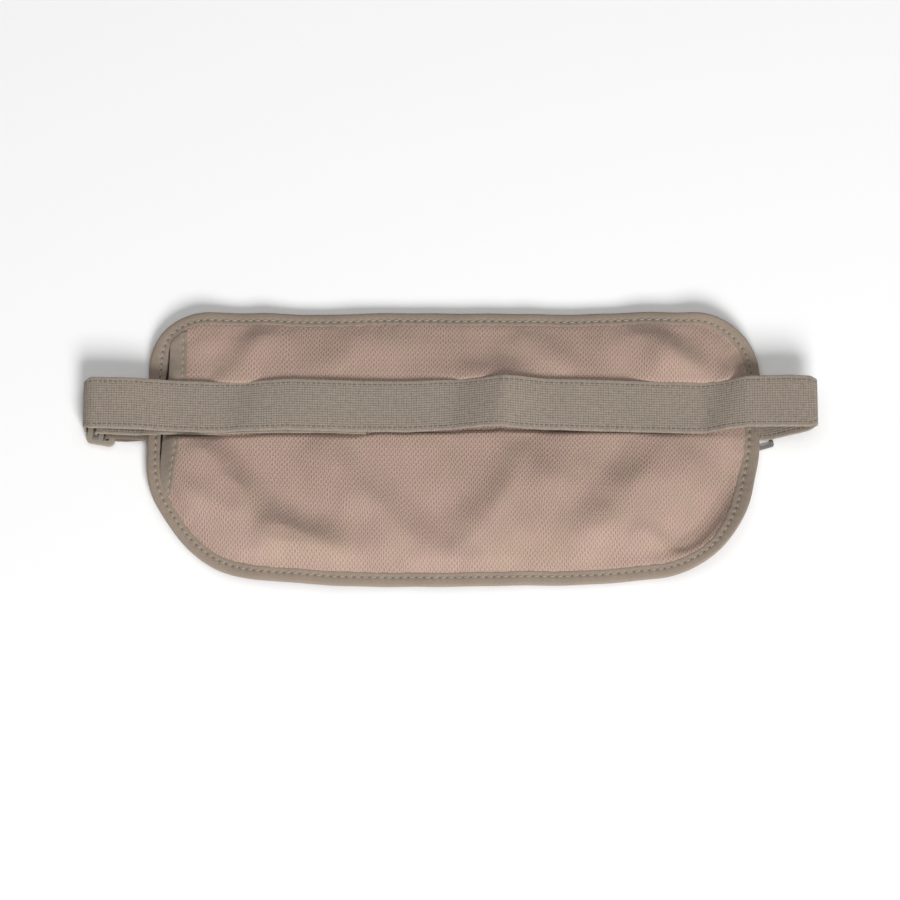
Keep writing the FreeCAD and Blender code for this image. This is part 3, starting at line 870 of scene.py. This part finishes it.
def webbing_section():
    """Section of the elastic: across and through, once round, with rounded selvedges."""
    half = BELT_WIDTH / 2
    thick = BELT_THICK / 2
    across = np.linspace(-half + SELVEDGE, half - SELVEDGE, 27)
    groove = 0.10 * bell(abs(across) - half + SEWN_ROW, 0.5)
    upper = list(zip(across, thick * (1 - groove)))
    turn = np.linspace(math.pi / 2, -math.pi / 2, 7)[1:-1]
    right = [(half - SELVEDGE + SELVEDGE * math.cos(t), thick * math.sin(t)) for t in turn]
    lower = [(a, -z) for a, z in reversed(upper)]
    left = [(-a, -z) for a, z in right]
    return np.array(upper + right + lower + left)


def askew(path, across):
    """How much each point of the belt's top run is raised by its lean and its twists."""
    x = path[:, 0]
    run = np.gradient(x)
    slope = np.gradient(path[:, 2]) / np.where(abs(run) < 1e-3, -1e-3, run)
    on_top = smooth_step((path[:, 2] - 9.0) / 0.6)
    on_top *= smooth_step((x + 135) / 10) * smooth_step((160 - x) / 10)
    lean = LEAN * bell(x - LEAN_X, LEAN_REACH)
    tilt = -lean * np.clip(slope, -0.6, 0.6)
    for middle, half, turn in BELT_TWISTS:
        tilt += turn * bell(x - middle, half)
    return (tilt * on_top)[:, None] * across[None, :]


def webbing(name, corners, node, look, ripple=0.0):
    """A strip of webbing along a route. With ripple, it leans, twists and waves a little."""
    s, path, turns = even_route(corners, 0.9)
    ways = unit(np.diff(path, axis=0))
    forward = unit(np.vstack([ways[:1], ways[:-1] + ways[1:], ways[-1:]]))
    a = np.radians(turns)
    across = np.column_stack([-np.sin(a), np.cos(a), 0 * a])
    up = unit(np.cross(forward, across))
    section = webbing_section()
    edge = wander_along(s, 9.0, 11.0)
    to_fold = np.minimum(path[:, 0] - path[:, 0].min(), path[:, 0].max() - path[:, 0])
    narrowed = 1 - FOLD_NARROWING * (ripple > 0) * bell(to_fold, FOLD_CORNER)
    width = section[:, 0] * narrowed[:, None]
    width += np.sign(section[:, 0]) * 0.12 * edge[:, None] * ripple
    points = path[:, None] + width[..., None] * across[:, None] + section[:, 1:] * up[:, None]
    points[..., 2] += askew(path, section[:, 0]) * (ripple > 0)
    faces = capped_tube(len(s), len(section))
    lay = grid_of(s[:, None], section[:, 0])
    piece = make_piece(name, points.reshape(-1, 3), faces, lay, look, [node])


def belt():
    elastic = woven_webbing("elastic_webbing", WEBBING_COLOUR)
    webbing("belt_elastic", BELT_ROUTE, "belt_strap", elastic, 1.0)
    # The tab's webbing is coloured darker as painted shade, for the shadow of the belt's run that lies
    # above it.
    shaded_tab_look = woven_webbing("tab_webbing_painted_shade", TAB_SHADED_COLOUR)
    webbing("belt_tab_webbing", TAB_ROUTE, "belt_tab", shaded_tab_look)


# ------------------------------------------------------------ materials
MESH_COLOUR = (0.512, 0.356, 0.293)
MESH_TAN = (0.498, 0.360, 0.280)
MESH_DARK = (0.185, 0.112, 0.085)
BINDING_COLOUR = (0.362, 0.285, 0.222)
WEBBING_COLOUR = (0.356, 0.295, 0.238)
# The tab's colour is darker than the belt's as painted shade: the shadow that the belt's run above it
# casts.
TAB_SHADED_COLOUR = (0.205, 0.160, 0.124)
WEBBING_DARK = (0.120, 0.095, 0.073)
PACK_COLOUR = (0.275, 0.225, 0.185)
LINING_COLOUR = (0.060, 0.045, 0.036)
THREAD_COLOUR = (0.450, 0.385, 0.312)
METAL_COLOUR = (0.46, 0.44, 0.42)
PULL_COLOUR = (0.27, 0.255, 0.24)
PLASTIC_COLOUR = (0.33, 0.275, 0.225)
ZIP_COLOUR = (0.215, 0.175, 0.145)


def darker(colour, share):
    return tuple(c * share for c in colour)


class Value:
    """A number in a material's nodes, for simple arithmetic."""

    def __init__(self, nodes, socket):
        self.nodes = nodes
        self.socket = socket

    def __rsub__(self, other):
        return self.nodes.math("SUBTRACT", other, self)

    def __abs__(self):
        return self.nodes.math("ABSOLUTE", self)


def operator(operation):
    return lambda self, other: self.nodes.math(operation, self, other)


Value.__add__ = operator("ADD")
Value.__sub__ = operator("SUBTRACT")
Value.__mul__ = operator("MULTIPLY")
Value.__truediv__ = operator("DIVIDE")
Value.__pow__ = operator("POWER")


class Nodes:
    """Short names for making a material's nodes."""

    def __init__(self, name, roughness, sheen=0.0, metallic=0.0):
        self.material = bpy.data.materials.new(name)
        self.material.use_nodes = True
        self.tree = self.material.node_tree
        self.shader = self.tree.nodes["Principled BSDF"]
        looks = {"Roughness": roughness, "Metallic": metallic}
        looks |= {"Sheen Weight": sheen, "Sheen Roughness": 0.5}
        for key, value in looks.items():
            self.feed(self.shader.inputs[key], value)

    def add(self, kind, inputs=(), **values):
        node = self.tree.nodes.new(kind)
        for key, value in values.items():
            setattr(node, key, value)
        for key, value in dict(inputs).items():
            self.feed(node.inputs[key], value)
        return node

    def feed(self, socket, value):
        """Link a value or a vector's socket, or set a constant."""
        if isinstance(value, Value):
            value = value.socket
        if hasattr(value, "is_linked"):
            self.tree.links.new(value, socket)
        else:
            socket.default_value = value

    def math(self, operation, *values):
        node = self.add("ShaderNodeMath", enumerate(values), operation=operation)
        return Value(self, node.outputs[0])

    def lay(self):
        """The cloth's own coordinates in millimetres: the vector and its first two numbers."""
        vector = self.add("ShaderNodeAttribute", attribute_name="lay").outputs["Vector"]
        split = self.add("ShaderNodeSeparateXYZ", {0: vector})
        return vector, Value(self, split.outputs[0]), Value(self, split.outputs[1])

    def place(self):
        return self.add("ShaderNodeTexCoord").outputs["Object"]

    def noise(self, vector, scale, detail):
        inputs = {"Vector": vector, "Scale": scale, "Detail": detail, "Roughness": 0.55}
        return Value(self, self.add("ShaderNodeTexNoise", inputs).outputs["Fac"])

    def stretched(self, vector, along, across):
        """The vector with its two directions scaled apart."""
        inputs = {0: vector, 1: (along, across, 1.0)}
        return self.add("ShaderNodeVectorMath", inputs, operation="MULTIPLY").outputs[0]

    def wave(self, value, pitch, shift=0.0):
        """A sine from -1 to 1 with the pitch given."""
        return self.math("SINE", value * (2 * math.pi / pitch) + shift)

    def mix(self, factor, first, second):
        """The first colour where the factor is 0, and the second where it is 1."""
        node = self.add("ShaderNodeMix", {0: factor}, data_type="RGBA", clamp_factor=True)
        for socket, value in ((node.inputs[6], first), (node.inputs[7], second)):
            self.feed(socket, value if hasattr(value, "is_linked") else (*value, 1.0))
        return node.outputs[2]

    def bump(self, height, distance, strength):
        inputs = {"Height": height, "Distance": distance, "Strength": strength}
        self.feed(self.shader.inputs["Normal"], self.add("ShaderNodeBump", inputs).outputs[0])

    def colour(self, value):
        self.feed(self.shader.inputs["Base Color"], value)


def staggered_cells(n, u, v, pitch_u, pitch_v):
    """Place inside each cell, -0.5 to 0.5 both ways, where every other column is half a cell up."""
    column = u / pitch_u
    half_up = n.math("FRACT", n.math("FLOOR", column) * 0.5)
    return n.math("FRACT", column) - 0.5, n.math("FRACT", v / pitch_v + half_up) - 0.5


@cache
def birdseye_mesh():
    """Knitted mesh: upright dimples in half-staggered columns on a brushed pinkish cloth."""
    n = Nodes("birdseye_mesh", 0.88, sheen=0.2)
    lay, u, v = n.lay()
    u = u + (n.noise(lay, 0.10, 1.0) - 0.5) * 3.0 + v * 0.05
    in_u, in_v = staggered_cells(n, u, v, 1.05, 2.5)
    hole = n.math("MAXIMUM", 1 - (abs(in_u / 0.36) ** 2 + abs(in_v / 0.43) ** 2), 0.0) ** 0.7
    fine = n.noise(lay, 1.6, 2.0)
    wide = n.noise(lay, 0.035, 2.0)
    tint = hole * (wide * 0.55 + 0.10) + (fine - 0.5) * 0.55 + (wide - 0.5) * 0.3
    tint = tint + n.wave(u, 1.2, math.pi) * 0.05 + 0.12
    patch = (n.noise(lay, 0.05, 1.0) - 0.42) * 4.0
    n.colour(n.mix(tint, n.mix(patch, MESH_COLOUR, MESH_TAN), MESH_DARK))
    n.bump(fine * 0.35 - hole + n.wave(v, 0.62) * 0.12, 0.00026, 0.9)
    return n.material


@cache
def woven_webbing(name, colour):
    """Webbing: cross ribs over lengthwise cords, a dotted line inside each selvedge."""
    n = Nodes(name, 0.82, sheen=0.12)
    lay, u, v = n.lay()
    drift = (n.noise(lay, 0.7, 2.0) - 0.5) * 0.5
    knot = abs(n.wave(v + drift, 2.3)) ** 0.6 * abs(n.wave(u - drift, 2.4)) ** 0.6
    on_row = n.math("COMPARE", abs(v), BELT_WIDTH / 2 - SEWN_ROW, 0.36)
    dotted = on_row * n.math("GREATER_THAN", n.wave(u, 2.4), 0.1)
    selvedge = n.math("GREATER_THAN", abs(v), BELT_WIDTH / 2 - 1.3)
    inner = 1 - selvedge
    fleck = n.noise(lay, 0.8, 2.0) - 0.5
    streak = n.noise(n.stretched(lay, 0.12, 1.0), 1.9, 1.0) - 0.5
    across = n.noise(n.stretched(lay, 1.0, 0.12), 1.9, 1.0) - 0.5
    wide = n.noise(lay, 0.03, 2.0) - 0.5
    tint = (1 - knot) * inner * 0.56 + dotted * 0.35 + fleck * 0.6 + selvedge * 0.22
    tint = tint + (streak + across) * 0.6 + wide * 0.2
    n.colour(n.mix(tint, colour, WEBBING_DARK))
    height = (knot + n.wave(u, 0.6) * 0.18) * inner - dotted * 0.9 + selvedge * n.wave(u, 0.8) * 0.25
    n.bump(height, 0.00022, 0.9)
    return n.material


@cache
def ribbed_tape(name, pitch, seams=()):
    """Tape with fine ribs across its width, with painted shade round each needle hole of its seams,
    where the tape is pulled in.
    """
    n = Nodes(name, 0.85, sheen=0.15)
    lay, u, v = n.lay()
    ribs = n.wave(u, 0.55)
    fine = n.noise(lay, 1.5, 2.0) - 0.5
    wide = n.noise(lay, 0.05, 2.0) - 0.5
    along = ((n.math("FRACT", u / pitch + 0.5) - 0.5) * (pitch / 0.75)) ** 2
    tint = ribs * -0.07 + fine * 0.85 + wide * 0.5 + 0.25
    # Each needle hole is painted darker: painted shade in the dimple where the thread pulls the tape
    # in.
    for seam in seams:
        hole = n.math("MAXIMUM", 1 - (along + ((v - seam) / 0.55) ** 2), 0.0)
        tint = tint + hole * 0.9
    n.colour(n.mix(tint, BINDING_COLOUR, darker(BINDING_COLOUR, 0.45)))
    n.bump(ribs * 0.5 + n.wave(v, 0.5) * 0.25 + fine, 0.00014, 0.8)
    return n.material


@cache
def plain_cloth(name, colour):
    """Plain weave."""
    n = Nodes(name, 0.8, sheen=0.1)
    lay, u, v = n.lay()
    over = n.wave(u, 0.7) * n.wave(v, 0.7)
    fine = n.noise(lay, 2.0, 2.0) - 0.5
    wide = n.noise(lay, 0.04, 3.0) - 0.5
    n.colour(n.mix(over * 0.12 + fine * 0.4 + wide * 0.5 + 0.2, colour, darker(colour, 0.6)))
    n.bump(over + fine, 0.00012, 0.6)
    return n.material


@cache
def thread_material():
    """Twisted sewing thread."""
    n = Nodes("sewing_thread", 0.6, sheen=0.2)
    grain = n.noise(n.place(), 2500.0, 2.0)
    n.colour(n.mix(grain, THREAD_COLOUR, darker(THREAD_COLOUR, 0.65)))
    n.bump(grain, 0.00005, 0.6)
    return n.material


@cache
def worn_metal(name, colour, roughness):
    """Plated zinc: brushed, with slightly duller patches."""
    n = Nodes(name, roughness, metallic=1.0)
    place = n.place()
    patch = n.noise(place, 220.0, 3.0)
    n.colour(n.mix(patch * 0.6, colour, darker(colour, 0.6)))
    n.feed(n.shader.inputs["Roughness"], patch * 0.25 + (roughness - 0.1))
    n.bump(n.noise(place, 1800.0, 2.0), 0.00002, 0.5)
    return n.material


@cache
def moulded_plastic(name, colour, roughness):
    """Matt moulded nylon with a fine spark-eroded grain."""
    n = Nodes(name, roughness)
    place = n.place()
    n.colour(n.mix(n.noise(place, 150.0, 3.0) * 0.5, colour, darker(colour, 0.75)))
    n.bump(n.noise(place, 2600.0, 2.0), 0.00003, 0.5)
    return n.material


# ------------------------------------------------------------ carried-over hard pieces
def finished_copy(node, material, body, bevel):
    """The CAD node's own shape with its sharp edges broken, in its place."""
    shape = bpy.data.objects.new(node + "_shape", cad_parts[node].data.copy())
    bpy.context.scene.collection.objects.link(shape)
    modifiers = [
        ("WELD", {"merge_threshold": 0.00001}),
        ("DECIMATE", {"decimate_type": "DISSOLVE", "angle_limit": math.radians(1.0)}),
        ("BEVEL", {"width": bevel * MM, "segments": 3, "limit_method": "ANGLE",
                   "angle_limit": math.radians(30), "harden_normals": False}),
    ]
    for kind, values in modifiers:
        modifier = shape.modifiers.new(kind.lower(), kind)
        for key, value in values.items():
            setattr(modifier, key, value)
    graph = bpy.context.evaluated_depsgraph_get()
    mesh = bpy.data.meshes.new_from_object(shape.evaluated_get(graph))
    bpy.data.objects.remove(shape)
    mesh.materials.clear()
    in_scene(node + "_finished", mesh, material, [node], body)
    mesh.set_sharp_from_angle(angle=math.radians(35))


def hard_pieces():
    metal = worn_metal("zip_metal", METAL_COLOUR, 0.38)
    pull = worn_metal("pull_metal", PULL_COLOUR, 0.34)
    plastic = moulded_plastic("adjuster_nylon", PLASTIC_COLOUR, 0.5)
    for name, body in (("main_zip", "main"), ("upper_zip", "upper")):
        finished_copy(name + "_slider", metal, body + "_slider", 0.12)
        finished_copy(name + "_pull", pull, body + "_pull", 0.18)
        finished_copy(name + "_stops", metal, "pouch", 0.15)
    finished_copy("strap_adjuster", plastic, "adjuster", 0.25)


# ------------------------------------------------------------ zips
ZIP_HEIGHT = 3.0            # of the middle of the coils
ZIP_TAPE_THICK = 0.34
COIL_PITCH = 1.3
COIL_MIDDLE = 0.95          # from the zip's middle line to the middle of a row
COIL_REACH = 1.05           # and from there to its loops' ends
COIL_HALF_HEIGHT = 0.30
COIL_THREAD = 0.2           # radius
TAPE_ACROSS = (1.75, 2.4, 3.6, 6.0, 9.0, 13.2)        # from the zip's middle line out


def zip_tape(name, y, side):
    """Woven tape from the coil out under the panel."""
    x0, x1 = span_in_pouch(y + side * 7.0)
    xs = np.arange(x0, x1, 2.0)
    across = np.array(TAPE_ACROSS)
    there_and_back = np.append(across, across[::-1])
    half = ZIP_TAPE_THICK / 2 * np.repeat([1, -1], len(across))
    height = ZIP_HEIGHT + 0.02 + 0.05 * np.sin(xs / 9.0)
    points = grid_of(xs[:, None], y + side * there_and_back, height[:, None] + half)
    faces = capped_tube(len(xs), 2 * len(across))
    if side < 0:
        faces = [tuple(reversed(f)) for f in faces]
    piece = make_piece(name + "_cloth", points, faces, points[:, :2],
                       plain_cloth("zip_tape_cloth", ZIP_COLOUR), [name])


def span_in_pouch(y):
    """The pouch's width at a height, inside the binding's fold."""
    _, xy, normal = outline(0.7)
    inner = xy - normal * TAPE_ALLOWANCE
    near = inner[np.abs(inner[:, 1] - y) < 1.0]
    return near[:, 0].min(), near[:, 0].max()


def zip_coil(name, y, side):
    """One row of a nylon coil: a thread wound into loops that reach between the other row's."""
    low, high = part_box(name)
    x0 = low.x / MM - SHIFT[0]
    x1 = high.x / MM - SHIFT[0]
    around = 5
    per_loop = 10
    count = int((x1 - x0) / COIL_PITCH)
    total = count * per_loop + 1
    t = np.arange(total) / per_loop
    turn = 2 * math.pi * t
    offset = COIL_PITCH / 2 if side < 0 else 0.0
    path = np.stack([
        x0 + offset + COIL_PITCH * t * (count - 0.6) / count,
        y + side * (COIL_MIDDLE - COIL_REACH * np.cos(turn)),
        ZIP_HEIGHT + COIL_HALF_HEIGHT * np.sin(turn),
    ], 1)
    forward = unit(np.gradient(path, axis=0))
    one = unit(np.cross(forward, [0.3, 0.0, 0.95]))
    two = np.cross(forward, one)
    angles = (2 * math.pi * np.arange(around) / around)[None, :, None]
    spokes = np.cos(angles) * one[:, None, :] + np.sin(angles) * two[:, None, :]
    points = (path[:, None, :] + COIL_THREAD * spokes).reshape(-1, 3)
    nylon = moulded_plastic("zip_nylon", ZIP_COLOUR, 0.45)
    make_piece(name + "_winding", points, capped_tube(total, around), None, nylon, [name])


def zip_sides():
    """Both sides of both zips: the zip's name and place, and the side's name and direction."""
    for name, y in (("main_zip", MAIN_ZIP_Y), ("upper_zip", UPPER_ZIP_Y)):
        for word, side in (("upper", 1), ("lower", -1)):
            yield name, y, word, side


def zips():
    for name, y, word, side in zip_sides():
        zip_tape(f"{name}_tape_{word}", y, side)
        zip_coil(f"{name}_coil_{word}", y, side)


def panel_stitches():
    """Topstitching along the front panels' edges beside the zips, on the underside."""
    for name, y, word, side in zip_sides():
        at = y + side * (PANEL_TO_ZIP + PANEL_STITCH)
        x0, x1 = span_in_pouch(at)
        xs = np.arange(x0 + 4.5, x1 - 4.5, 1.5)
        route = np.column_stack([xs, 0 * xs + at])
        stitch_row(f"{name}_topstitch_{word}", route, 0 * xs + PANEL_RIM + 0.02, -1)


# ------------------------------------------------------------ tacks
SEAM_TACKS_X = (142.6, -143.1)
TAB_TACK_X = -149.8
TACK_TOP = 27.0
TACK_HALF = 0.8             # half the zigzag's width


def bar_tack(name, bars, replaced):
    """Close zigzag stitches over each bar: (x, low y, high y, height, half width)."""
    points = []
    faces = []
    angle = 2 * math.pi * np.arange(5) / 5
    ring = np.column_stack([0 * angle, 0.16 * np.cos(angle), 0.12 * np.sin(angle)])
    for x, y0, y1, z, half in bars:
        count = int((y1 - y0) / 0.5)
        i = np.arange(count + 1)
        zigzag = x + half * np.where(i % 2, 1, -1)
        path = np.column_stack([zigzag, y0 + (y1 - y0) * i / count, 0 * i + z])
        faces += capped_tube(len(i), len(ring), len(points))
        points.extend((path[:, None] + ring).reshape(-1, 3))
    points = np.array(points)
    make_piece(name, points, faces, points[:, :2], thread_material(), replaced)


def tacks():
    on_seam = BINDING_HIGH + 0.05
    on_tab = TAB_OVER_BAR + BELT_THICK / 2 + 0.06
    bars = [(x, 5.5, TACK_TOP, on_seam, TACK_HALF) for x in SEAM_TACKS_X]
    bar_tack("seam_tack_stitches", bars, ["seam_tacks"])
    bar_tack("tab_tack_stitches", [(TAB_TACK_X, 6.0, TACK_TOP, on_tab, TACK_HALF)], ["tab_tack"])


# ------------------------------------------------------------ studio
def studio():
    bpy.ops.mesh.primitive_plane_add(size=6.0, location=(0, 0, 0))
    floor = bpy.context.object
    floor.name = "floor"
    n = Nodes("pale_floor", 0.9)
    n.colour((0.98, 0.98, 0.98, 1.0))
    floor.data.materials.append(n.material)

    scene = bpy.context.scene
    scene.view_settings.view_transform = "Standard"
    world = bpy.data.worlds.new("studio")
    scene.world = world
    world.use_nodes = True
    background = world.node_tree.nodes["Background"]
    background.inputs["Color"].default_value = (1.0, 1.0, 1.0, 1.0)
    background.inputs["Strength"].default_value = 0.14

    add_light("front_right_key", (0.65, -2.2, 1.8), 1.2, 86.0)
    add_light("overhead_soft", (0.0, 0.4, 2.2), 2.4, 20.0)


def add_light(name, place, size, power):
    """A square soft light that points at the middle of the belt."""
    data = bpy.data.lights.new(name, "AREA")
    data.energy = power
    data.size = size
    lamp = bpy.data.objects.new(name, data)
    bpy.context.scene.collection.objects.link(lamp)
    lamp.location = place
    lamp.rotation_euler = (Vector((0, 0, 0)) - Vector(place)).to_track_quat("-Z", "Y").to_euler()


def camera():
    """Looks down on the pouch from its lower side."""
    target = Vector((0.0001, -0.0004, 0.0039))
    data = bpy.data.cameras.new("camera")
    data.sensor_width = 36.0
    data.lens = 36.0 * VIEW_DISTANCE / VIEW_WIDTH
    data.clip_end = 20.0
    eye = bpy.data.objects.new("camera", data)
    bpy.context.scene.collection.objects.link(eye)
    eye.location = target + Vector((0, -math.sin(TILT), math.cos(TILT))) * VIEW_DISTANCE * MM
    eye.rotation_euler = (TILT, 0, 0)
    bpy.context.scene.camera = eye


# ------------------------------------------------------------ everything
camera()
back_mesh()
inner_sheet("back_lining_cloth", "back_lining", LINING_RIM, LINING_CROWN)
inner_sheet("pocket_divider_cloth", "pocket_divider", DIVIDER_RIM, DIVIDER_CROWN,
            (MAIN_ZIP_Y + PANEL_TO_ZIP + 0.6, REACH_Y[1]))
front_panel("front_bottom", "front_bottom_panel", (REACH_Y[0], MAIN_ZIP_Y - PANEL_TO_ZIP), (0, 1.0))
front_panel("front_middle", "front_middle_panel",
            (MAIN_ZIP_Y + PANEL_TO_ZIP, UPPER_ZIP_Y - PANEL_TO_ZIP), (PULL_SWEEP, 1.0))
front_panel("front_top", "front_top_panel", (UPPER_ZIP_Y + PANEL_TO_ZIP, REACH_Y[1]), (1.0, 0))
edge_binding()
binding_stitches()
opening_hem()
belt()
zips()
panel_stitches()
tacks()
hard_pieces()
studio()
